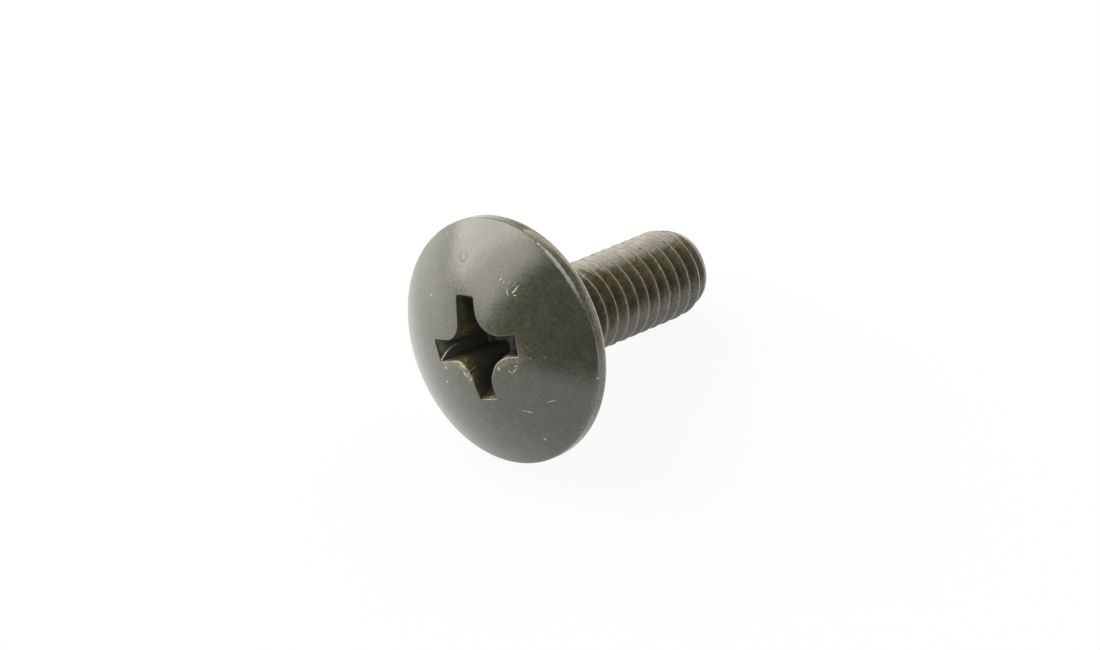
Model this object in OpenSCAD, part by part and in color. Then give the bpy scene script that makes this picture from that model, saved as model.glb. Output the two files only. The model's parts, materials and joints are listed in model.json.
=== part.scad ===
// Machine screw with a truss head and a cross recess, headed and thread-rolled in one piece.
// It lies as it rests on a table, on the rim of its head and on the last turns of its thread.
// Lengths are in millimetres and angles in degrees.

/* [Head] */
// Diameter of the head across its rim
head_d = 16; // [15:0.5:18]
// Height of the head, from its bearing face to the top of the dome
head_h = 4; // [3.7:0.1:4.5]
// Height of the rim band, from the bearing face to the foot of the dome
rim_h = 1.1; // [1:0.1:1.5]
// Radius of the soft edge between the dome and the rim band
rim_front_r = 0.2; // [0.1:0.05:0.3]
// Radius of the rounded edge between the rim band and the bearing face
rim_back_r = 0.45; // [0.2:0.05:0.5]

/* [Cross recess] */
// Span of the recess across two opposite wings, where it opens on the dome
recess_span = 6.8; // [6.2:0.1:7.2]
// Span of the recess across two opposite wings, at its floor
floor_span = 3.8; // [3.4:0.1:4.4]
// Depth of the wings, from the mouth to the floor
recess_depth = 3.1; // [2.4:0.1:3.2]
// Width of a wing at its outer end
wing_tip_w = 1.36; // [1.1:0.02:1.5]
// Width that a wing's sides would have where they meet the axis
wing_root_w = 1.9; // [1.6:0.05:2.2]
// Radius of the lobes of metal that stand between the wings
lobe_r = 1.2; // [0.8:0.1:1.4]
// Diameter of the conical pit under the floor
pit_d = 2.2; // [1.8:0.1:2.3]
// Depth of the conical pit under the floor
pit_depth = 0.6; // [0.3:0.1:0.9]
// Turn of the recess about the screw's axis
recess_turn = 55; // [0:0.5:89.5]
// Distance that the punch struck off the axis, along one pair of wings
recess_off_u = -0.16; // [-0.3:0.02:0.3]
// Distance that the punch struck off the axis, along the other pair of wings
recess_off_v = 0.2; // [-0.3:0.02:0.3]

/* [Shank] */
// Length of the shank, from the bearing face to the end of the tip
shank_l = 16; // [10:1:40]
// Diameter of the plain neck, which is the blank's own diameter
neck_d = 5.3; // [5.1:0.05:5.5]
// Length of the plain neck
neck_l = 1.2; // [1:0.1:2]
// Gap between the thread's diameter and the ring where the neck's fillet meets the bearing face
seat_gap = 0.25; // [0.1:0.05:0.4]

/* [Thread] */
// Outer diameter of the thread, a little under its nominal 6 so that it runs freely in a nut
thread_d = 5.85; // [5.8:0.05:6.2]
// Pitch of the thread, a right-hand single start
pitch = 1; // [0.75:0.05:1.25]
// Length over which the rolled thread rises out of the neck
runout_l = 1.4; // [1:0.1:2]
// Turn of the blank and its thread about the axis. At 0, crests touch the table at whole pitches from the head
thread_turn = 13; // [0:1:359]

/* [Tip] */
// Length of the tapered point
point_l = 1.45; // [0.8:0.05:2]
// Diameter at the small end of the tapered point
tip_d = 5; // [4.6:0.1:5.4]
// Width of the bevel round the end face
tip_edge = 0.2; // [0.1:0.05:0.3]

/* [Hidden] */
finish = "#4a4c40";

// Steps in which each arc of the turned outline is drawn
dome_steps = 18;
edge_steps = 5;
// Steps to one turn of the thread
turn_steps = 36;
// Facets to a full circle in the recess's lobes
lobe_fn = 40;
// Distance by which a cutting shape passes what it cuts
over = 0.2;

head_r = head_d / 2;
neck_r = neck_d / 2;
thread_r = thread_d / 2;
tip_r = tip_d / 2;

// Sphere of the dome: it meets the rim's cylinder at the height of the band
dome_h = head_h - rim_h;
dome_r = (head_r ^ 2 + dome_h ^ 2) / (2 * dome_h);
dome_c = dome_r - head_h;

// Soft edge that touches the dome and the band: its centre, and where the dome gives way to it
front_x = head_r - rim_front_r;
front_z = dome_c - sqrt((dome_r - rim_front_r) ^ 2 - front_x ^ 2);
front_angle = atan2(front_x, dome_c - front_z);

// Fillet under the head
seat_r = thread_r + seat_gap;
fillet_r = seat_r - neck_r;

// Metric thread form: flanks at 60 degrees, an eighth of the pitch flat at the crest and a sixth at the root
crest_flat = pitch / 8;
root_flat = pitch / 6;
flank_half = 30;
thread_h = (pitch - crest_flat - root_flat) / 2 / tan(flank_half);
root_r = thread_r - thread_h;
core_r = root_r - over;

// The thread starts inside the head. Its turn brings each crest nearer to the head on the side that lies down.
first_crest = -pitch;
crest_shift = pitch * thread_turn / 360;
steps = ceil((shank_l - first_crest) / pitch + 1) * turn_steps;
runout_z = neck_l - runout_l / 2;
form_z = [-crest_flat / 2, crest_flat / 2, (pitch - root_flat) / 2, (pitch + root_flat) / 2];
form_r = [thread_r, thread_r, root_r, root_r];

// Slope of the tapered point, as radius lost for each millimetre of length
point_slope = (thread_r - tip_r) / (point_l - tip_edge);

// Level of the recess's mouth on the dome, and how much the punch narrows over its depth
mouth_z = dome_c - sqrt(dome_r ^ 2 - (recess_span / 2) ^ 2);
narrowing = 1 - floor_span / recess_span;
top_z = -head_h - over;
top_scale = 1 + narrowing * (mouth_z - top_z) / recess_depth;

// Points of an arc about c, whose angle runs from the dome's top towards the rim
function arc(c, r, from, to, n) = [
    for (i = [0:n]) let (a = from + (to - from) * i / n) c + r * [sin(a), -cos(a)]
];

// Radius of the tapered point at the distance z from the bearing face
function point_r(z) = thread_r - point_slope * (z - shank_l + point_l);

// Radius of the thread's form at the distance z, on the side that the screw lies on
function form_at(z) =
    let (from_crest = abs(z + crest_shift - pitch * round((z + crest_shift) / pitch)))
    thread_r - min(thread_h, max(0, from_crest - crest_flat / 2) / tan(flank_half));

// Tilt of the axis when the screw lies on its rim and on the point at z, r of its shank
function tilt_on(z, r) =
    let (dz = z + rim_back_r, dr = head_r - rim_back_r - r)
    atan2(dr, dz) + asin(rim_back_r / norm([dz, dr]));

// The shank comes down until its first point touches, which is the one with the least tilt
rest_tilt = min([
    for (z = [neck_l + runout_l : pitch / 32 : shank_l - tip_edge])
        tilt_on(z, min(form_at(z), point_r(z)))
]);
rest_h = (head_r - rim_back_r) * cos(rest_tilt) - rim_back_r * sin(rest_tilt) + rim_back_r;

// Ends of the screw along X once it is tilted: the dome behind, the end face's upper edge in front
back_x = dome_c * cos(rest_tilt) - dome_r;
front_end_x = shank_l * cos(rest_tilt) + (tip_r - tip_edge) * sin(rest_tilt);

// The cold-headed blank: dome, rim, bearing face, fillet and neck, turned about the axis.
// Its neck ends in a cone that stays inside the thread's root.
module blank() {
    rotate_extrude($fn = 120)
        polygon(concat(
            arc([0, dome_c], dome_r, 0, front_angle, dome_steps),
            arc([front_x, front_z], rim_front_r, front_angle, 90, edge_steps),
            arc([head_r - rim_back_r, -rim_back_r], rim_back_r, 90, 180, edge_steps),
            arc([seat_r, fillet_r], fillet_r, 0, -90, edge_steps),
            [[neck_r, neck_l], [core_r, neck_l + neck_r - core_r], [0, neck_l + neck_r - core_r]]
        ));
}

// Point k of the thread's form at step n of the helix. The form rises out of the core over the run-out.
function thread_point(n, k) =
    let (
        a = 360 * n / turn_steps,
        z = first_crest + pitch * n / turn_steps + form_z[k],
        rise = min(1, max(0, (z - runout_z) / runout_l)),
        r = core_r + (form_r[k] - core_r) * rise
    )
    [r * cos(a), r * sin(a), z];

// Place of that point in the list. The fourth point of a step is the first one of the step a turn later.
function thread_id(n, k) =
    k == 4 ? thread_id(n + turn_steps, 0) : n <= steps ? 4 * n + k : 4 * steps + 3 + n - steps;

// The helical surface with its core, closed at both ends by a fan about the axis
module thread_helix() {
    last = steps + turn_steps;
    points = concat(
        [for (n = [0:steps], k = [0:3]) thread_point(n, k)],
        [for (n = [steps + 1 : last]) thread_point(n, 0)],
        [[0, 0, first_crest + pitch / 2], [0, 0, first_crest + pitch * (last + steps) / turn_steps / 2]]
    );
    head_end = len(points) - 2;
    tip_end = len(points) - 1;
    polyhedron(points, concat(
        [for (n = [0 : steps - 1], k = [0:3])
            [thread_id(n, k), thread_id(n, k + 1), thread_id(n + 1, k + 1)]],
        [for (n = [0 : steps - 1], k = [0:3])
            [thread_id(n, k), thread_id(n + 1, k + 1), thread_id(n + 1, k)]],
        [for (n = [0 : turn_steps - 1]) [head_end, thread_id(n, 0), thread_id(n + 1, 0)]],
        [for (k = [0:3]) [head_end, thread_id(0, k + 1), thread_id(0, k)]],
        [for (n = [steps : last - 1]) [tip_end, thread_id(n + 1, 0), thread_id(n, 0)]],
        [for (k = [0:3]) [tip_end, thread_id(steps, k), thread_id(steps, k + 1)]]
    ));
}

// The rolled thread, cut to length with its tapered point and bevelled end
module rolled_thread() {
    outer_r = thread_r + over;
    intersection() {
        thread_helix();
        rotate_extrude($fn = 120)
            polygon([
                [0, first_crest - pitch],
                [outer_r, first_crest - pitch],
                [outer_r, shank_l - point_l - over / point_slope],
                [tip_r, shank_l - tip_edge],
                [tip_r - tip_edge, shank_l],
                [0, shank_l]
            ]);
    }
}

// Outline of the punch at the recess's mouth: four wings, and a lobe's rounding in each corner between them
module punch_outline() {
    offset(r = -lobe_r)
        offset(delta = lobe_r)
            for (turn = [0 : 90 : 270])
                rotate(turn)
                    polygon([
                        [0, -wing_root_w / 2],
                        [recess_span / 2, -wing_tip_w / 2],
                        [recess_span / 2, wing_tip_w / 2],
                        [0, wing_root_w / 2]
                    ]);
}

// The punch that strikes the cross recess: its wings narrow towards the floor, and a cone points the middle
module punch() {
    floor_z = mouth_z + recess_depth;
    rotate(recess_turn)
        translate([recess_off_u, recess_off_v, 0]) {
            translate([0, 0, top_z])
                linear_extrude(height = floor_z - top_z, scale = (1 - narrowing) / top_scale)
                    scale(top_scale)
                        punch_outline($fn = lobe_fn);
            translate([0, 0, floor_z - over])
                cylinder(h = over + pit_depth, r1 = pit_d / 2 * (1 + over / pit_depth), r2 = 0, $fn = 60);
        }
}

// The whole screw, with the bearing face's centre at the origin and the shank along +Z
module upright_screw() {
    difference() {
        rotate(thread_turn) {
            blank();
            rolled_thread();
        }
        punch();
    }
}

module screw() {
    color(finish)
        translate([-(back_x + front_end_x) / 2, 0, rest_h])
            rotate([0, 90 + rest_tilt, 0])
                upright_screw();
}

screw();
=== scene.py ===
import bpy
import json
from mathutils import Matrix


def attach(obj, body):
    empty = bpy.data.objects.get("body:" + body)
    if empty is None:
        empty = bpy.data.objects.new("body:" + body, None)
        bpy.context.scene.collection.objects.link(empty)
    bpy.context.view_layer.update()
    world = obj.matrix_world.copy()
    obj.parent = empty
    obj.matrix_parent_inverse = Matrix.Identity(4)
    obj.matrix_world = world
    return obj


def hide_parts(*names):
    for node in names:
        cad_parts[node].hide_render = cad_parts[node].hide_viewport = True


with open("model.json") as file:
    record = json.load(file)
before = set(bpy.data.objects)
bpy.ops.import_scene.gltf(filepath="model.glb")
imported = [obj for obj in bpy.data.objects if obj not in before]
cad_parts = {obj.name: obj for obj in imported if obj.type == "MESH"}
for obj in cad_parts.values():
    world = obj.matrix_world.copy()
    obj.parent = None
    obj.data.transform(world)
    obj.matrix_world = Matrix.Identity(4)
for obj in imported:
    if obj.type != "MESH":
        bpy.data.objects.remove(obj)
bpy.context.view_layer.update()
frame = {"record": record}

import json
from math import ceil, cos, pi, radians, sin, sqrt, tan

import bmesh
import bpy
import numpy as np
from mathutils import Matrix, Vector

# The head of the screw, headed cold from steel wire in one blow: a shallow dome, a crisp edge, a band round
# the rim, a rounded back edge, the flat bearing face and a fillet into the neck. Up to the mesh, all is
# worked out upright in millimetres, with the shank along +Z from the bearing face.
head_columns = 384
head_r = 7.99
head_h = 3.998
rim_h = 1.1
rim_back_r = 0.45
neck_r = 2.65
seat_r = 3.175
fillet_r = seat_r - neck_r
dome_h = head_h - rim_h
dome_r = (head_r ** 2 + dome_h ** 2) / (2 * dome_h)
dome_c = dome_r - head_h


def dome_z(radius):
    """Level of the dome at a distance from the axis: its sphere's centre, less the root of the sphere's
    radius squared less the distance squared."""
    return dome_c - np.sqrt(dome_r ** 2 - radius ** 2)


def arc(centre, radius, start, end, count):
    """Points of an arc as (distance from the axis, level), first index along the arc and second from column
    to column: the centre plus the radius times (sine, -cosine) of an angle that runs from dome to rim."""
    angle = start + (end - start) * np.linspace(0, 1, count)[:, None] * np.ones(head_columns)
    return np.stack([centre[0] + radius * np.sin(angle), centre[1] - radius * np.cos(angle)], -1)


# The cross recess, struck by a punch that left it a little off the axis. Four wings narrow towards a flat
# floor with a conical pit. A lobe of metal stands in each corner between two wings, and wear has rounded each
# of them in its own way. In the recess's frame, the wings lie along the two axes.
recess_turn = radians(55)
recess_centre = np.array([-0.2, 0.25])
wing_corner_r = 0.08
lobe_radii = (1.3, 1.9, 1.9, 1.25)
recess_corners = np.array([
    (3.04, -0.44), (3.24, 0.97), (0.61, 0.86), (0.55, 3.66), (-0.80, 3.47), (-1.02, 0.93),
    (-3.64, 0.90), (-3.53, -0.49), (-1.05, -0.18), (-0.95, -3.01), (0.35, -3.01), (0.39, -0.33),
])
corner_r = np.array([(wing_corner_r, wing_corner_r, lobe) for lobe in lobe_radii]).ravel()
recess_depth = 3.1
mouth_r = 3.4
floor_r = 1.9
floor_share = floor_r / mouth_r
pit_r = 1.1
pit_depth = 0.6


def rounded_outline(corners, radii, count, closeness=0.12):
    """Closed outline of a polygon with rounded corners, walked in a number of steps that are shorter on the
    tighter arcs. An arc's centre is on its corner's bisector, at its radius over the sine of half the
    corner's angle, so it touches both sides."""
    before = np.roll(corners, 1, 0) - corners
    after = np.roll(corners, -1, 0) - corners
    before /= np.linalg.norm(before, axis=1, keepdims=True)
    after /= np.linalg.norm(after, axis=1, keepdims=True)
    half = np.arccos(np.sum(before * after, 1)) / 2
    middle = before + after
    middle /= np.linalg.norm(middle, axis=1, keepdims=True)
    centres = corners + middle * (radii / np.sin(half))[:, None]
    first = corners + before * (radii / np.tan(half))[:, None] - centres
    last = corners + after * (radii / np.tan(half))[:, None] - centres
    sweep = (pi - 2 * half)[:, None, None]
    per_arc = 40
    share = np.linspace(0, 1, per_arc)[None, :, None]
    arcs = np.sin((1 - share) * sweep) * first[:, None] + np.sin(share * sweep) * last[:, None]
    walk = (centres[:, None] + arcs / np.sin(sweep)).reshape(-1, 2)
    on_arc = np.tile(np.r_[np.ones(per_arc - 1), 0], len(corners))
    weight = on_arc * np.repeat(closeness / radii, per_arc) + 1
    walk = np.concatenate([walk, walk[:1]])
    length = np.r_[0, np.cumsum(np.linalg.norm(np.diff(walk, axis=0), axis=1) * weight)]
    even = np.linspace(0, length[-1], count, endpoint=False)
    return np.stack([np.interp(even, length, walk[:, k]) for k in (0, 1)], -1)


def bump_at(distance, width):
    """Bell curve of a distance, the exponential of minus its square over the width's: 1 at nothing."""
    return np.exp(-(distance / width) ** 2)


def rising(value, start, end):
    """Straight rise from 0 at the start to 1 at the end: the value less the start, over the end less the
    start, held between 0 and 1."""
    return np.clip((value - start) / (end - start), 0, 1)


mouth = rounded_outline(recess_corners, corner_r, head_columns)
mouth_out = np.roll(mouth, -1, 0) - np.roll(mouth, 1, 0)
mouth_out = np.stack([mouth_out[:, 1], -mouth_out[:, 0]], -1)
mouth_out /= np.linalg.norm(mouth_out, axis=1, keepdims=True)
spoke = mouth - recess_centre
spoke_angle = np.unwrap(np.arctan2(spoke[:, 1], spoke[:, 0]))


def near_spoke(*places):
    """Sum of bell curves round the mouth: each is its height times the bell curve of how far a column's spoke
    has turned from its direction. Directions and widths are in degrees."""
    total = 0
    for peak, direction, width in places:
        apart = (spoke_angle - radians(direction) + pi) % (2 * pi) - pi
        total = total + peak * bump_at(apart, radians(width))
    return total


random = np.random.default_rng(7)


def ripple(points, size, waves=16):
    """Smooth random field from -1 to 1 on points: a mean of cosine waves of about the given length, each
    in a random direction."""
    way = random.normal(size=(waves, 3))
    way *= 2 * pi / size / np.linalg.norm(way, axis=1, keepdims=True) * random.uniform(0.6, 1.4, (waves, 1))
    phase = random.uniform(0, 2 * pi, waves)
    return np.clip(np.cos(points @ way.T + phase).mean(-1) * sqrt(waves / 2), -1, 1)


# The mouth's edge is rolled over where drivers have slipped: deeply on one lobe, and its neighbour is chewed.
# Rows run in from a collar on the dome, over the edge to the wall.
chewed_lobe = (1, 322, 22)
least_lip_r = 0.07
lip_r = least_lip_r + near_spoke((0.2, 232, 22), (0.14, 322, 22), (0.04, 140, 25), (0.06, 203, 12),
                                 (0.05, 345, 12), (0.1, 88, 12), (0.07, 266, 10))
collar = 0.45
lip_rows_each = 8
chewed_depth = 0.03
lip_turn = np.linspace(0, pi / 2, lip_rows_each)[:, None]
collar_out = np.linspace(1, 0, lip_rows_each, endpoint=False)[:, None] ** 1.4
out = np.concatenate([lip_r + (collar - lip_r) * collar_out, lip_r * (1 - np.sin(lip_turn))])
drop = np.concatenate([np.zeros((lip_rows_each, head_columns)), lip_r * (1 - np.cos(lip_turn))])
lip_xy = mouth + mouth_out * out[..., None]
lip_rows = np.concatenate([lip_xy, (dome_z(np.linalg.norm(lip_xy, axis=-1)) + drop)[..., None]], -1)
lip_share = np.linspace(0, 1, len(lip_rows))[:, None]
lip_rows[..., 2] += chewed_depth * near_spoke(chewed_lobe) * lip_share * ripple(lip_rows, 0.25, 24)

# Walls slope in from the mouth to the floor, and the floor runs in to the pit's point
mouth_z = dome_c - sqrt(dome_r ** 2 - mouth_r ** 2)
floor_z = mouth_z + recess_depth
floor_edge = recess_centre + floor_share * spoke
fall = np.linspace(0, 1, 28)[1:, None, None] ** 1.25
wall_foot = np.concatenate([floor_edge, np.full((head_columns, 1), floor_z)], -1)
wall_rows = lip_rows[-1] + (wall_foot - lip_rows[-1]) * fall
inward = np.linspace(1, 0, 12)[1:, None, None]
floor_xy = recess_centre + (floor_edge - recess_centre) * inward
pit = np.linalg.norm(floor_xy - recess_centre, axis=-1)
floor_rows = np.concatenate([floor_xy, (floor_z + pit_depth * np.clip(1 - pit / pit_r, 0, 1))[..., None]], -1)

# The rim, worn by handling. On the upper side the dome ends in a sharp, ragged edge, with a hollow in the
# band behind it. On the lower side the edge is soft. Turns are in degrees about the screw's axis, and 180 is
# on top as it lies.
collar_spoke = lip_xy[0] - recess_centre
collar_angle = np.unwrap(np.arctan2(collar_spoke[:, 1], collar_spoke[:, 0]))
column_step = 2 * pi / head_columns
even_angle = collar_angle[0] + np.arange(head_columns) * column_step
even_angle += (collar_angle - even_angle).mean()
edge_angle = 0.6 * collar_angle + 0.4 * even_angle
edge_turn = np.degrees(edge_angle + recess_turn) % 360
sharp_side = rising(edge_turn, 95, 145) * rising(edge_turn, 240, 215)
hollow_side = rising(edge_turn, 174, 180) * rising(edge_turn, 252, 218)
soft_edge_r = 0.3
sharp_edge_r = 0.13
ragged_depth = 0.05
hollow_depth = 0.16
edge_steps = 7
edge_r = soft_edge_r - (soft_edge_r - sharp_edge_r) * sharp_side
front_x = head_r - edge_r
front_z = dome_c - np.sqrt((dome_r - edge_r) ** 2 - front_x ** 2)
front_angle = np.arctan2(front_x, dome_c - front_z)
edge_arc = arc((front_x, front_z), edge_r, front_angle, pi / 2, edge_steps)
edge_way = np.stack([np.cos(edge_angle), np.sin(edge_angle)], -1)
edge_circle = 8 * np.pad(edge_way, ((0, 0), (0, 1)))
ragged = ragged_depth * sharp_side * np.clip(ripple(edge_circle, 0.5, 30), 0, 1)
edge_arc[1:, :, 0] -= ragged * np.linspace(0, 1, edge_steps)[1:, None]
down_band = np.linspace(0, 1, 13)[1:, None]
band_z = front_z + (-rim_back_r - front_z) * down_band
band_r = head_r - hollow_depth * hollow_side * (1 - down_band) ** 1.5
across_face = np.linspace(head_r - rim_back_r, seat_r, 12)[1:-1, None] * np.ones(head_columns)
rim_line = np.concatenate([
    edge_arc,
    np.stack([band_r, band_z], -1),
    arc((head_r - rim_back_r, -rim_back_r), rim_back_r, pi / 2, pi, 10)[1:],
    np.stack([across_face, 0 * across_face], -1),
    arc((seat_r, fillet_r), fillet_r, 0, -pi / 2, 7),
])

# From the collar round the mouth, spokes run out over the dome to its edge
reach = np.linspace(0, 1, 36)[:-1, None]
reach = reach * (0.55 + 0.45 * reach)
edge_spoke = (dome_r * np.sin(front_angle))[:, None] * edge_way - recess_centre
edge_spoke_angle = np.unwrap(np.arctan2(edge_spoke[:, 1], edge_spoke[:, 0]))
edge_spoke_angle += 2 * pi * np.round((collar_angle - edge_spoke_angle).mean() / (2 * pi))
spoke_now = collar_angle + (edge_spoke_angle - collar_angle) * reach
spoke_long = np.linalg.norm(collar_spoke, axis=1)
spoke_long = spoke_long + (np.linalg.norm(edge_spoke, axis=1) - spoke_long) * reach
dome_xy = recess_centre + spoke_long[..., None] * np.stack([np.cos(spoke_now), np.sin(spoke_now)], -1)
dome_rows = np.concatenate([dome_xy, dome_z(np.linalg.norm(dome_xy, axis=-1))[..., None]], -1)[::-1]

# Round the rim and over the back, the columns drift to even steps. The neck's ring has half as many points.
back_rows = np.arange(len(rim_line))[:, None] / (len(rim_line) - 1)
even_turn = edge_angle.mean() - pi * (1 - 1 / head_columns) + np.arange(head_columns) * column_step
rim_angle = edge_angle + (even_turn - edge_angle) * back_rows
rim_angle[-1] = np.repeat(even_turn[::2], 2)
rim_rows = np.stack([rim_line[..., 0] * np.cos(rim_angle), rim_line[..., 0] * np.sin(rim_angle),
                     rim_line[..., 1]], -1)
head_rows = np.concatenate([rim_rows[::-1], dome_rows, lip_rows, wall_rows, floor_rows])
head_shape = head_rows.shape[:2]

# Which rows are what, from the neck's ring inwards to the pit
on_rim = slice(0, len(rim_rows))
on_lip = slice(on_rim.stop + len(dome_rows), on_rim.stop + len(dome_rows) + len(lip_rows))
in_recess = slice(on_lip.stop, head_shape[0])

# Marks are placed in the recess's frame, before the turn back. Points behind the dome's edge are moved far
# off in it, so that no mark of the dome comes through on the band or the underside.
far_off = 200
recess_place = head_rows.copy()
recess_place[on_rim, :, 2] += far_off * (rim_line[::-1, :, 1] > -0.9)
turn_back = np.array([[cos(recess_turn), sin(recess_turn)], [-sin(recess_turn), cos(recess_turn)]])

# Wear, dirt and painted light of the head, from 0 to 1: how far it is rubbed bare, with a painted highlight
# among it; how rusty it is; how thick its brown grime is, with a painted shade among it; how dull and black
# its dirt and painted shade are; and how far its metal is made dull, which on the head is only the painted
# highlight. First the rim: its band is rubbed most near the back edge. On the upper side the band behind the
# sharp edge is painted darker with brown grime, a painted shade where the hollow's shadow falls, and the top
# of that edge, where the light falls, is painted pale as a highlight, partly worn bare.
head_bare_and_painted_light = np.zeros(head_shape)
head_rust = np.zeros(head_shape)
head_grime_and_painted_shade = np.zeros(head_shape)
head_soot_and_shade = np.zeros(head_shape)
head_rolled = np.zeros(head_shape)
rim_r, rim_z = rim_line[::-1, :, 0], rim_line[::-1, :, 1]
rim_turn = np.degrees(rim_angle[::-1] + recess_turn) % 360
on_band = (rim_r > 7.6) & (rim_z < -0.02)
# Painted highlight: round the turn where the light falls on the sharp edge, the edge is painted pale and
# dull, as its bright line; it stands partly for wear.
painted_highlight_edge = bump_at(rim_turn - 203, 17)
upper_side = rising(rim_turn, 95, 145) * rising(rim_turn, 265, 235)
front_edge = rim_z < -1.02
head_rolled[on_rim] = painted_highlight_edge * front_edge
head_bare_and_painted_light[on_rim] = on_band * (0.32 + 0.3 * bump_at(rim_z + 0.2, 0.3))
# Painted shade: on the upper side the band just behind the sharp edge keeps little bare metal, and below it
# takes brown grime, so that it is darker where the hollow's shadow falls.
head_bare_and_painted_light[on_rim] *= 1 - 0.9 * upper_side * bump_at(rim_z + 0.95, 0.35)
head_bare_and_painted_light[on_rim] += on_band * painted_highlight_edge * (0.1 + 0.9 * front_edge)
head_grime_and_painted_shade[on_rim] = np.where(on_band, upper_side * rising(rim_z, -0.25, -0.75) * (rim_z > -0.98), 0.5)
head_grime_and_painted_shade[on_rim] += on_band * bump_at(rim_turn - 285, 35) * bump_at(rim_z + 1, 0.3) * 0.35

# Then the recess: dark dirt and painted shade that darken it with depth, with rust and rubbed spots near the
# mouth
depth = np.clip((head_rows[in_recess, :, 2] - mouth_z) / recess_depth, 0, 1)


def on_walls(*patches):
    """Sum of soft patches on the recess's walls: each is a bell curve round the mouth, times a straight fade
    at each of the two depths that it lies between, from 0 at the mouth to 1 at the floor."""
    total = 0
    for peak, direction, width, start, end in patches:
        fade = rising(depth, start - 0.06, start) * rising(depth, end + 0.1, end)
        total = total + near_spoke((peak, direction, width)) * fade
    return total


head_grime_and_painted_shade[in_recess] = 0.55
# Painted shade with dark dirt: the walls turn dull and dark with depth, starting deeper near 45 degrees, and
# the right wing's end wall is made black from just under the mouth down to about half its depth.
head_soot_and_shade[in_recess] = 0.6 * np.clip((depth + 0.02 - near_spoke((0.182, 45, 60))) / 0.25, 0, 1)
head_soot_and_shade[in_recess] += near_spoke((1, 184, 17)) * rising(depth, 0, 0.03) * rising(depth, 0.7, 0.4)
head_rust[in_recess] = on_walls((0.9, 268, 10, 0, 0.03), (0.6, 348, 5, 0.02, 0.05), (0.6, 197, 14, 0, 0.05),
                                (0.33, 38, 10, 0.12, 0.2), (0.35, 320, 18, 0, 0.04), (0.35, 10, 12, 0, 0.1))
head_bare_and_painted_light[in_recess] = on_walls((0.6, 8, 14, 0, 0.12), (0.4, 76, 12, 0, 0.15))
head_grime_and_painted_shade[on_lip] = near_spoke(chewed_lobe, (1, 200, 20))
head_bare_and_painted_light[on_lip] = near_spoke((0.16, 322, 22), (0.45, 232, 22), (1.1, 268, 9), (0.7, 203, 14),
                               (0.6, 345, 12), (0.4, 130, 25), (0.5, 182, 6))
head_bare_and_painted_light[on_lip] *= lip_share ** 4
head_rows[..., :2] = head_rows[..., :2] @ turn_back

# The shank: a right-hand thread of 6 mm by 1 mm pitch, the neck that it rises from, a tapered point and a
# bevelled end. Flat dies roll it into the blank, so its crests are thin and its roots a little round.
thread_r = 2.925
pitch = 1
thread_turn = radians(13)
crest_flat = pitch / 8
root_flat = pitch / 6
flank_half = radians(30)
thread_h = (pitch - crest_flat - root_flat) / 2 / tan(flank_half)
shank_l = 16
neck_l = 1.2
runout_l = 1.4
point_l = 1.45
tip_r = 2.5
tip_edge = 0.2
core_r = thread_r - thread_h - 0.2
crest_ease = 0.02
root_ease = 0.06
thread_columns = head_columns // 2
form_steps = np.array([-0.08, -0.045, 0, 0.045, 0.08, 0.16, 0.28, 0.4, 0.46, 0.54, 0.6, 0.72, 0.84]) * pitch


def ramp(value, ease):
    """The value where it is above 0 and nothing where it is below, with the corner rounded over a length:
    half the sum of the value and the root of its square plus the length's square."""
    return (value + np.sqrt(value ** 2 + ease ** 2)) / 2


def shank_radius(angle, level):
    """Radius of the shank, and the distance from the nearest crest along it: the level less the pitch times
    the turns about the axis, less the nearest whole pitch. The flank falls with that distance past half the
    crest's flat, down to the root. The form fades in from the neck, and the point and the bevel cut it."""
    phase = (level - pitch * (angle - thread_turn) / (2 * pi)) / pitch
    from_crest = np.abs(phase - np.round(phase)) * pitch
    fall = ramp(from_crest - crest_flat / 2, crest_ease) / tan(flank_half)
    form = thread_r - thread_h + ramp(thread_h - fall, root_ease)
    rise = np.clip((level - neck_l + runout_l / 2) / runout_l, 0, 1)
    form = core_r + (form - core_r) * rise
    neck = neck_r - np.clip(level - neck_l, 0, neck_r - core_r)
    body = neck + ramp(form - neck, crest_ease)
    slope = (thread_r - tip_r) / (point_l - tip_edge)
    point = thread_r - slope * (level - shank_l + point_l)
    body = body - ramp(body - point, crest_ease)
    return np.minimum(body, tip_r - (level - shank_l + tip_edge)), from_crest


# Each row follows the helix, so that the crests run along rows. Rows that would start inside the head are
# drawn up to the neck's ring, and rows past the end are drawn in to the middle of the end face. Points that
# come close to that middle are put in it, so that no sliver of a face is left.
nick_depth = 0.09
end_run = 0.5
turns = ceil(shank_l + end_run - fillet_r) + 2
thread_rows = (fillet_r - pitch + np.arange(turns + 1)[:, None] * pitch + form_steps).ravel()
column = np.arange(thread_columns)
thread_angle = even_turn[0] + recess_turn + column * 2 * pi / thread_columns
start_phase = (thread_angle[0] - thread_turn) / (2 * pi) * pitch
thread_rows = thread_rows - (fillet_r % pitch) + start_phase - ceil(start_phase)
level = thread_rows[:, None] + pitch * column / thread_columns
past = np.clip((level - shank_l) / end_run, 0, 1)
past = np.where(past > 0.97, 1, past)
held = np.clip(level, fillet_r, shank_l)
shank_r, from_crest = shank_radius(thread_angle, held)
shank_r = np.where(level <= fillet_r, neck_r, shank_r) * (1 - past)
on_crest = bump_at(from_crest, 0.1) * (level > neck_l) * (past == 0)
around = np.stack([3 * np.cos(thread_angle) + 0 * level, 3 * np.sin(thread_angle) + 0 * level, level], -1)
crest_nick = np.clip(ripple(around, 0.7, 24) - 0.55, 0, 1) * on_crest
shank_r = shank_r - nick_depth * crest_nick
shank_rows = np.stack([shank_r * np.cos(thread_angle), shank_r * np.sin(thread_angle), held], -1)

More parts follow.
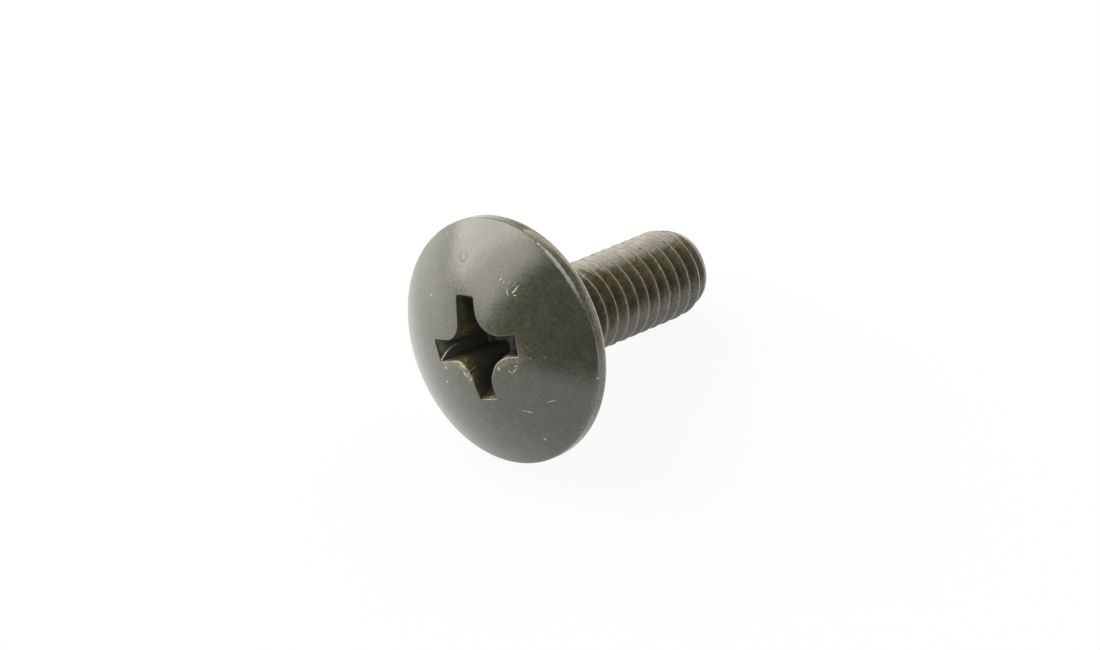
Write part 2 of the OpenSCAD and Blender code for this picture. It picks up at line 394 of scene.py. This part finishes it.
# Its crests are rubbed, but where they face up and back as it lies they keep the dark coat, a painted shade.
# Its grooves hold brown grime.
painted_shade_on_upper_crest = bump_at(thread_angle % (2 * pi) - radians(150), radians(32))
shank_bare_and_painted_shade = on_crest * (0.54 + 0.1 * ripple(around, 2.5)) + 0.7 * crest_nick
shank_bare_and_painted_shade = shank_bare_and_painted_shade * (1 - 0.9 * painted_shade_on_upper_crest)
shank_grime = 0.7 + 0.3 * rising(from_crest, 0.2, 0.45)

# A thin burr of the same steel curves over the end wall of one wing, where a driver tore the edge. Its path
# is in the recess's frame, with the depth under the dome. A circle goes along it and shrinks to nothing at
# both ends.
burr_path = np.array([(3.08, -0.42, 0.05), (3.06, -0.36, 0.16), (2.99, -0.20, 0.33), (2.88, 0.01, 0.56),
                      (2.75, 0.19, 0.83), (2.63, 0.32, 1.08), (2.53, 0.36, 1.30), (2.44, 0.29, 1.50)])
burr_thick_r = 0.095
burr_sides = 12
burr_share = np.linspace(0, 1, 41)
path_share = np.linspace(0, 1, len(burr_path))
burr_mid = np.stack([np.interp(burr_share, path_share, burr_path[:, k]) for k in range(3)], -1)
burr_mid[:, 2] += dome_z(np.linalg.norm(burr_mid[:, :2], axis=1))
burr_mid[:, :2] = burr_mid[:, :2] @ turn_back
burr_way = np.gradient(burr_mid, axis=0)
burr_way /= np.linalg.norm(burr_way, axis=1, keepdims=True)
burr_side = np.cross(burr_way, [0.0, 0.0, 1.0])
burr_side /= np.linalg.norm(burr_side, axis=1, keepdims=True)
burr_over = np.cross(burr_way, burr_side)
burr_r = burr_thick_r * np.clip(np.minimum(burr_share, 1 - burr_share) * 16, 0, 1) ** 0.5
burr_turn = (np.arange(burr_sides) * 2 * pi / burr_sides)[:, None]
burr_rows = burr_mid[:, None] + burr_r[:, None, None] * (
    np.cos(burr_turn) * burr_side[:, None] + np.sin(burr_turn) * burr_over[:, None])

# The whole screw is one mesh, because the real one is one piece. It lies as it rests on a table: its place
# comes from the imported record, as the bearing face's centre and the shank's way.
parts = [head_rows, shank_rows, burr_rows]
points = np.concatenate([rows.reshape(-1, 3) for rows in parts])
MM = 0.001
seat = next(m for m in frame["record"]["mounts"] if m["name"] == "bearing_face")
seat_centre = Vector(seat["pos_m"])
shank_way = Vector(seat["axis"]).normalized()
across_way = Vector((0, 1, 0))
lying_way = across_way.cross(shank_way)


def lie_down(upright):
    """Points of the upright screw in millimetres, laid down in metres: the bearing face's centre, plus each
    of the three distances along the way that its axis now points."""
    turned = upright @ np.array([lying_way, across_way, shank_way])
    return turned * MM + np.array(seat_centre)


def on_parts(head_value, shank_value, burr_value):
    """One value for each point, from a grid or a single number for each part, held between 0 and 1."""
    part_values = (head_value, shank_value, burr_value)
    grids = [value * np.ones(rows.shape[:2]) for value, rows in zip(part_values, parts)]
    return np.clip(np.concatenate([grid.ravel() for grid in grids]), 0, 1)


def quads(a, b, c, d):
    """Four-cornered faces from four equal arrays of corner numbers."""
    return np.stack([a.ravel(), b.ravel(), c.ravel(), d.ravel()], -1)


# Rows of the head and the burr close on themselves. A row of the thread runs on into the next turn's.
head_id = np.arange(head_bare_and_painted_light.size).reshape(head_shape)
shank_id = head_id.size + np.arange(shank_bare_and_painted_shade.size).reshape(shank_bare_and_painted_shade.shape)
burr_id = head_id.size + shank_id.size + np.arange(burr_rows[..., 0].size).reshape(burr_rows.shape[:2])
head_next = np.roll(head_id, -1, 1)
burr_next = np.roll(burr_id, -1, 1)
per_turn = len(form_steps)
shank_next = np.full_like(shank_id, -1)
shank_next[:, :-1] = shank_id[:, 1:]
shank_next[:-per_turn, -1] = shank_id[per_turn:, 0]
whole = (shank_next[:-1] >= 0) & (shank_next[1:] >= 0)
faces = [
    quads(head_id[:-1], head_id[1:], head_next[1:], head_next[:-1]),
    quads(burr_id[:-1], burr_id[1:], burr_next[1:], burr_next[:-1]),
    quads(shank_id[:-1][whole], shank_next[:-1][whole], shank_next[1:][whole], shank_id[1:][whole]),
]

mesh = bpy.data.meshes.new("coated_screw")
mesh.from_pydata(lie_down(points), [], np.concatenate(faces).tolist())
for name, values in (
    ("bare_and_painted_light", on_parts(head_bare_and_painted_light, shank_bare_and_painted_shade, 0.75)),
    ("rust", on_parts(head_rust, 0, 0)),
    ("grime_and_painted_shade", on_parts(head_grime_and_painted_shade, shank_grime, 0.3)),
    ("soot_and_shade", on_parts(head_soot_and_shade, 0, 0)),
    ("rolled", on_parts(head_rolled, 1, 0)),
):
    mesh.attributes.new(name, "FLOAT", "POINT").data.foreach_set("value", values)
face_place = np.concatenate([recess_place.reshape(-1, 3), points[head_id.size:] + [60, 60, 0]])
mesh.attributes.new("face_place", "FLOAT_VECTOR", "POINT").data.foreach_set("vector", face_place.ravel())
screw = bpy.data.objects.new("coated_screw", mesh)
bpy.context.scene.collection.objects.link(screw)

shell = bmesh.new()
shell.from_mesh(mesh)
bmesh.ops.remove_doubles(shell, verts=shell.verts, dist=2e-6)
bmesh.ops.recalc_face_normals(shell, faces=shell.faces)
shell.to_mesh(mesh)
shell.free()
mesh.polygons.foreach_set("use_smooth", np.ones(len(mesh.polygons), bool))
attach(screw, "root")
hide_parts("screw")


def linear(hex_colour):
    """Colour of a hex code like #a1b2c3 in linear light, with alpha 1: the sRGB curve is undone channel by
    channel."""
    channels = [int(hex_colour[k:k + 2], 16) / 255 for k in (1, 3, 5)]
    return tuple(c / 12.92 if c <= 0.04045 else ((c + 0.055) / 1.055) ** 2.4 for c in channels) + (1,)


def add_node(kind, inputs=(), output=0, **settings):
    """One output of a new node of a kind in the tree at hand, with its settings. Its inputs come in their
    order, or as a dictionary by name or place. Each is a value, or another node's output to be linked."""
    node = tree.nodes.new("ShaderNode" + kind)
    for name, value in settings.items():
        setattr(node, name, value)
    for place, value in (inputs.items() if isinstance(inputs, dict) else enumerate(inputs)):
        if isinstance(value, bpy.types.NodeSocket):
            tree.links.new(value, node.inputs[place])
        else:
            node.inputs[place].default_value = value
    return node.outputs[output] if node.outputs else node


# Steel with a thin olive-black chemical coating, which keeps the shine of the headed and rolled metal. It
# gives the eye a dark surface with clear but soft-edged reflections, and pale metal where it is rubbed off.
# The coating is an oxide, so it has an IOR of its own and the metal counts only where it is bare. Ranges are
# smooth steps, and a mix takes its share at input 0 and its two colours at 6 and 7.
oxide_ior = 1.8
bare_metallic = 0.6
polished_roughness = 0.12
coat =bpy.data.materials.new("olive_black_coat_on_steel")
coat.use_nodes = True
tree = coat.node_tree
tree.nodes.clear()
smooth = {"interpolation_type": "SMOOTHSTEP"}
of_colours = {"output": 2, "data_type": "RGBA"}
bare_and_painted_light, rust, grime_and_painted_shade, soot_and_shade, rolled = [
    add_node("Attribute", output="Fac", attribute_name=name)
    for name in ("bare_and_painted_light", "rust", "grime_and_painted_shade", "soot_and_shade", "rolled")
]

# Patterns on the lying screw: size in millimetres, detail, roughness, and 1 for a noise in three colours. The
# real grain is finer, and is drawn as coarse as it needs to show.
place = add_node("TexCoord", output="Object")
place = add_node("Mapping", {"Vector": place, "Scale": (1 / MM, 1 / MM, 1 / MM)})
grain, speckle, patches, waves, tints, wobble, rubbing, rolling = [
    add_node("TexNoise", {"Vector": place, "Scale": 1 / size, "Detail": detail, "Roughness": rough}, output)
    for size, detail, rough, output in (
        (0.09, 2, 0.5, 0),  # grain of the coating
        (0.22, 3, 0.6, 0),  # speckle of light and dark spots
        (0.9, 4, 0.6, 0),  # patches where the coating and the grime change their shade
        (2.5, 2, 0.5, 0),  # slow waves that the forming left
        (0.7, 3, 0.6, 1),  # tints of the coating
        (0.16, 2, 0.5, 1),  # wobble of the marks' outlines
        (0.25, 4, 0.65, 0),  # ragged spots of rubbed metal
        (0.6, 3, 0.5, 0),  # unevenness of the rolled thread
    )
]

# Marks are ovals in the recess's frame, with wobbly outlines: place, half length, half width and direction
wobble_mm = 0.16
face = add_node("Attribute", output="Vector", attribute_name="face_place")
wobble = add_node("VectorMath", (wobble, (0.5, 0.5, 0.5)), operation="SUBTRACT")
wobble = add_node("VectorMath", {0: wobble, "Scale": wobble_mm}, operation="SCALE")
marked = add_node("VectorMath", (face, wobble), operation="ADD")


def nearest(marks, level=0, half_height=40):
    """Distance to the nearest of some oval marks at a level, as a share of that mark's size: the length of
    the way to it in its own turned and scaled frame, so it is 0 at its middle and 1 on its edge. On the dome
    a mark is tall, because the dome's level changes."""
    closest = 9.0
    for u, v, half_length, half_width, direction in marks:
        inside = add_node("Mapping", {"Vector": marked, "Location": (u, v, level),
                                      "Rotation": (0, 0, radians(direction)),
                                      "Scale": (half_length, half_width, half_height)}, vector_type="TEXTURE")
        far = add_node("VectorMath", (inside,), "Value", operation="LENGTH")
        closest = add_node("Math", (closest, far), operation="MINIMUM")
    return closest


nicks = nearest([
    (-2.95, 4.38, 0.10, 0.10, 59), (-3.19, 4.18, 0.09, 0.06, 43), (-3.41, 3.53, 0.24, 0.045, 71),
    (-3.93, 3.62, 0.32, 0.06, 138), (-3.94, 3.29, 0.15, 0.04, 16), (-1.97, -1.08, 0.14, 0.14, 58),
    (-2.72, -1.39, 0.19, 0.06, 50), (-3.10, -1.30, 0.40, 0.05, 146), (-3.23, -1.06, 0.16, 0.05, 160),
    (2.70, -0.86, 0.16, 0.10, 26), (3.09, -1.78, 0.09, 0.09, 61), (0.92, -0.79, 0.28, 0.06, 41),
    (0.50, -1.06, 0.40, 0.05, 105), (0.56, -1.68, 0.28, 0.05, 152), (0.94, -1.27, 0.27, 0.06, 64),
    (-2.78, -4.13, 0.40, 0.05, 22), (-4.58, -3.65, 0.34, 0.04, 173), (-2.72, -6.22, 0.08, 0.08, 99),
    (3.22, 3.70, 0.08, 0.08, 25),
])
rim_nicks = nearest([
    (-5.14, 6.04, 0.16, 0.07, 39), (-5.74, 5.47, 0.16, 0.07, 41), (-6.46, 4.66, 0.16, 0.07, 30),
    (-7.49, -2.76, 0.12, 0.07, 92), (-7.32, -3.29, 0.08, 0.05, 87),
], -1.08, 0.17)
scuffs = nearest([
    (-2.72, -0.76, 0.36, 0.22, 46), (-4.75, -0.11, 0.40, 0.08, 157), (-4.35, -0.71, 0.36, 0.08, 27),
    (-5.23, -0.76, 0.45, 0.08, 171), (-4.24, 0.07, 0.14, 0.07, 65), (-5.42, -3.62, 0.2, 0.06, 171),
    (-3.6, 3.9, 0.5, 0.3, 138),
])
stains = nearest([(6.38, 3.25, 0.15, 0.15, 34), (4.04, 4.70, 0.35, 0.12, 35), (6.18, 2.45, 0.15, 0.13, 29)])
knob = nearest([(0.07, 5.98, 0.34, 0.34, 0)])
# A crease beside one lobe, painted dark as the shade in it, with a shallow dent
shaded_creases = nearest([(-1.88, -1.62, 0.38, 0.05, 93)])
chews = nearest([(0.72, -1.2, 0.85, 0.26, 62)])
nicks = add_node("Math", (nicks, rim_nicks), operation="MINIMUM")

# Each mark fades in from an outer to an inner distance. Most stop where the recess's dark dirt and painted
# shade begin, and the speckle breaks up the nicks and the scuffs.
nick, nick_pit, scuff, stain, knob_rise, knob_dish, shaded_crease, chewed = [
    add_node("MapRange", (distance, outer, inner), **smooth)
    for distance, outer, inner in (
        (nicks, 1.0, 0.45), (nicks, 1.3, 0.3), (scuffs, 1.3, 0.4), (stains, 1.2, 0.4),
        (knob, 1.2, 0.7), (knob, 0.7, 0.2), (shaded_creases, 1.2, 0.5), (chews, 1.4, 0.5),
    )
]
on_dome = add_node("MapRange", (soot_and_shade, 0.0, 0.3, 1.0, 0.0), **smooth)
nick_broken = add_node("MapRange", (speckle, 0.3, 0.55, 0.35, 1.0), **smooth)
scuff_broken = add_node("MapRange", (speckle, 0.45, 0.62), **smooth)
nick, scuff, shaded_crease, chewed = [
    add_node("Math", (share, on_dome), operation="MULTIPLY")
    for share in (nick, scuff, shaded_crease, chewed)
]
nick = add_node("Math", (nick, nick_broken), operation="MULTIPLY")
scuff = add_node("Math", (scuff, scuff_broken), operation="MULTIPLY")


def in_spots(wear, pattern, amount, low, high, fade):
    """Share of a kind of wear that comes and goes in ragged spots: the wear, moved up and down by a pattern,
    through a soft threshold, and faded out where there is hardly any wear."""
    moved = add_node("Math", (pattern, amount, -amount / 2), operation="MULTIPLY_ADD")
    moved = add_node("Math", (wear, moved), operation="ADD")
    spots = add_node("MapRange", (moved, low, high), **smooth)
    faded = add_node("MapRange", (wear, 0.02, fade), **smooth)
    return add_node("Math", (spots, faded), operation="MULTIPLY")


bare_and_painted_light_share = in_spots(bare_and_painted_light, rubbing, 0.8, 0.2, 0.9, 0.25)
bare_and_painted_light_share = add_node("Math", (bare_and_painted_light_share, nick), operation="MAXIMUM")
scuffed = add_node("Math", (scuff, 0.35), operation="MULTIPLY")
bare_and_painted_light_share = add_node("Math", (bare_and_painted_light_share, scuffed), operation="MAXIMUM", use_clamp=True)
rust_share = in_spots(rust, speckle, 1.2, 0.25, 0.7, 0.2)
thick = add_node("MapRange", (patches, 0.2, 0.75, 0.65, 1.0), **smooth)
grime_and_shade_share = add_node("Math", (grime_and_painted_shade, thick), operation="MULTIPLY", use_clamp=True)
dull_share = add_node("MapRange", (soot_and_shade, 0.0, 0.6), **smooth)
black_share = add_node("MapRange", (soot_and_shade, 0.6, 1.0), **smooth)


def two_tone(pattern, low, high, first, second):
    """Colour that turns smoothly from one hex code to another while a pattern rises between two levels."""
    share = add_node("MapRange", (pattern, low, high), **smooth)
    return add_node("Mix", {0: share, 6: linear(first), 7: linear(second)}, **of_colours)


# Coating, brown grime with the rim's painted shade, and dull and black dirt with the recess's painted shade,
# all tinted in fine patches of colour
colour = two_tone(patches, 0.3, 0.7, "#373a29", "#434531")
for share, over in (
    (grime_and_shade_share, two_tone(patches, 0.35, 0.65, "#5e573e", "#70684d")),
    (dull_share, linear("#423f36")),
    (black_share, linear("#211f19")),
):
    colour = add_node("Mix", {0: share, 6: colour, 7: over}, **of_colours)
shade = add_node("MapRange", (speckle, 0.32, 0.68, 0.74, 1.26), **smooth)
tinted = add_node("VectorMath", (tints, (0.7, 0.7, 0.7), (0.65, 0.65, 0.65)), operation="MULTIPLY_ADD")
tinted = add_node("VectorMath", {0: tinted, "Scale": shade}, operation="SCALE")
colour = add_node("VectorMath", (colour, tinted), operation="MULTIPLY")

# Over them stains, a crease painted dark as its shade, the chewed lobe, rust, bare metal with the rim's
# painted highlight, and nicks that are bright or yellowed
metal_colour = add_node("Mix", {0: grime_and_shade_share, 6: linear("#a4a8a2"), 7: linear("#a3957c")}, **of_colours)
for share, strength, over in (
    (stain, 0.7, linear("#2a2f33")),
    (shaded_crease, 0.7, linear("#2b2416")),
    (chewed, 0.8, two_tone(speckle, 0.42, 0.6, "#4a3f28", "#a0916a")),
    (rust_share, 1.0, two_tone(speckle, 0.4, 0.62, "#5a3420", "#9c7650")),
    (bare_and_painted_light_share, 1.0, metal_colour),
    (nick, 0.85, two_tone(tints, 0.4, 0.6, "#b4b5ad", "#b5a67c")),
):
    share = add_node("Math", (share, strength), operation="MULTIPLY")
    colour = add_node("Mix", {0: share, 6: colour, 7: over}, **of_colours)

# Rubbed metal shines on the head, and is dull on the crests and on the rim's lit edge, whose pale paint is a
# painted highlight. Dark dirt with its painted shade, and rust, are rough.
dull_metal = add_node("Math", (bare_and_painted_light_share, rolled), operation="MULTIPLY")
metal = add_node("Math", (bare_and_painted_light_share, dull_metal), operation="SUBTRACT")
metal = add_node("Math", (metal, bare_metallic), operation="MULTIPLY")
roughness = polished_roughness
for share, rise in ((speckle, 0.06), (soot_and_shade, 0.4), (rust_share, 0.4), (bare_and_painted_light_share, 0.15), (dull_metal, 0.25)):
    roughness = add_node("Math", (share, rise, roughness), operation="MULTIPLY_ADD", use_clamp=True)

# Heights in millimetres: grain, slow waves, the rolled thread's unevenness, nicks, the knob with its dished
# top, the crease, and the grit of the chewed lobe and of the rust
uneven = add_node("Math", (rolling, rolled), operation="MULTIPLY")
chewed_grit = add_node("Math", (chewed, speckle), operation="MULTIPLY")
rust_grit = add_node("Math", (rust_share, speckle), operation="MULTIPLY")
height = 0.0
for pattern, rise in ((grain, 0.01), (waves, 0.012), (uneven, 0.025), (speckle, 0.006), (nick_pit, -0.012),
                      (knob_rise, 0.014), (knob_dish, -0.01), (shaded_crease, -0.01), (chewed_grit, 0.03),
                      (rust_grit, 0.05)):
    height = add_node("Math", (pattern, rise, height), operation="MULTIPLY_ADD")
relief = add_node("Bump", {"Strength": 1.0, "Distance": MM, "Height": height})
surface = add_node("BsdfPrincipled", {"Base Color": colour, "Roughness": roughness, "Metallic": metal,
                                      "IOR": oxide_ior, "Normal": relief})
add_node("OutputMaterial", (surface,))
mesh.materials.append(coat)

# The camera: it looks down on the head from a short distance, with a long lens. Its place was fitted to the
# photo, in millimetres from the bearing face's centre along the camera's own three ways.
heading = radians(45.48)
look_down = radians(47.08)
focal_px = 5600
frame_px = 1100
aside_mm = 2.313
above_mm = 0.715
away_mm = 350.095
right = Vector((cos(heading), -sin(heading), 0))
towards = Vector((-sin(heading), -cos(heading), 0))
back = towards * cos(look_down) + Vector((0, 0, sin(look_down)))
up = back.cross(right)
camera_data = bpy.data.cameras.new("camera")
camera_data.sensor_width = 36
camera_data.lens = focal_px / frame_px * camera_data.sensor_width
camera = bpy.data.objects.new("camera", camera_data)
bpy.context.scene.collection.objects.link(camera)
camera_place = seat_centre + (right * aside_mm + up * above_mm + back * away_mm) * MM
camera.matrix_world = Matrix.Translation(camera_place) @ Matrix([right, up, back]).transposed().to_4x4()
bpy.context.scene.camera = camera

# The light: a tall soft box on the left in two halves, a raised screen behind, a dim one on the right, and a
# grey room. Bearings are in degrees from the camera's side to its right. Then distance, width, bottom and top
# in metres, and how bright each is against white.
lamp_tint = (1, 0.955, 0.88)
room_tint = (0.28, 0.28, 0.27, 1)
for name, bearing, distance, width, bottom, top, radiance in (
    ("left_soft_box_front", -83.7, 0.62, 0.294, 0.05, 0.96, 2.65),
    ("left_soft_box_back", -123.5, 0.62, 0.62, 0.02, 0.96, 4.3),
    ("back_screen", 172, 0.7, 1.4, 0.23, 0.83, 2.2),
    ("right_screen", 100, 0.8, 0.5, 0.12, 0.62, 1.3),
):
    way = towards * cos(radians(bearing)) + right * sin(radians(bearing))
    side = Vector((0, 0, 1)).cross(way)
    middle = way * distance + Vector((0, 0, (top + bottom) / 2))
    light = bpy.data.lights.new(name, "AREA")
    light.shape = "RECTANGLE"
    light.size = width
    light.size_y = top - bottom
    light.energy = radiance * pi * width * (top - bottom)
    light.color = lamp_tint
    panel = bpy.data.objects.new(name, light)
    bpy.context.scene.collection.objects.link(panel)
    facing = Matrix([side, Vector((0, 0, 1)), way]).transposed().to_4x4()
    panel.matrix_world = Matrix.Translation(middle) @ facing
    panel.visible_camera = False
world = bpy.data.worlds.new("room")
bpy.context.scene.world = world
world.use_nodes = True
world.node_tree.nodes["Background"].inputs["Color"].default_value = room_tint

# The table that the screw lies on, covered with white paper. The paper gives the eye a plain white ground: it
# is white to the camera and in reflections, and keeps just enough of its own shade for the shadow to show.
# Its slight sheen mirrors the soft box to the dome.
white_share = 0.92
most_sheen = 0.25
table_half = 3
table_data = bpy.data.meshes.new("table")
table_corners = [(-table_half, -table_half, 0), (table_half, -table_half, 0),
                 (table_half, table_half, 0), (-table_half, table_half, 0)]
table_data.from_pydata(table_corners, [], [(0, 1, 2, 3)])
table = bpy.data.objects.new("table", table_data)
bpy.context.scene.collection.objects.link(table)
paper = bpy.data.materials.new("white_paper")
paper.use_nodes = True
tree = paper.node_tree
tree.nodes.clear()
camera_ray = add_node("LightPath", output="Is Camera Ray")
glossy_ray = add_node("LightPath", output="Is Glossy Ray")
seen = add_node("Math", (camera_ray, glossy_ray), operation="MAXIMUM")
seen = add_node("Math", (seen, white_share), operation="MULTIPLY")
lit = add_node("BsdfPrincipled", {"Base Color": linear("#f3f3f3"), "Roughness": 0.9})
white = add_node("Emission")
surface = add_node("MixShader", (seen, lit, white))
mirrored = add_node("Fresnel", {"IOR": 1.8})
mirrored = add_node("Math", (mirrored, most_sheen), operation="MINIMUM")
mirrored = add_node("Math", (mirrored, glossy_ray), operation="MULTIPLY")
sheen = add_node("BsdfAnisotropic", {"Color": mirrored, "Roughness": 0.3})
surface = add_node("AddShader", (surface, sheen))
add_node("OutputMaterial", (surface,))
table_data.materials.append(paper)

# Colours render as they are written.
bpy.context.scene.view_settings.view_transform = "Standard"
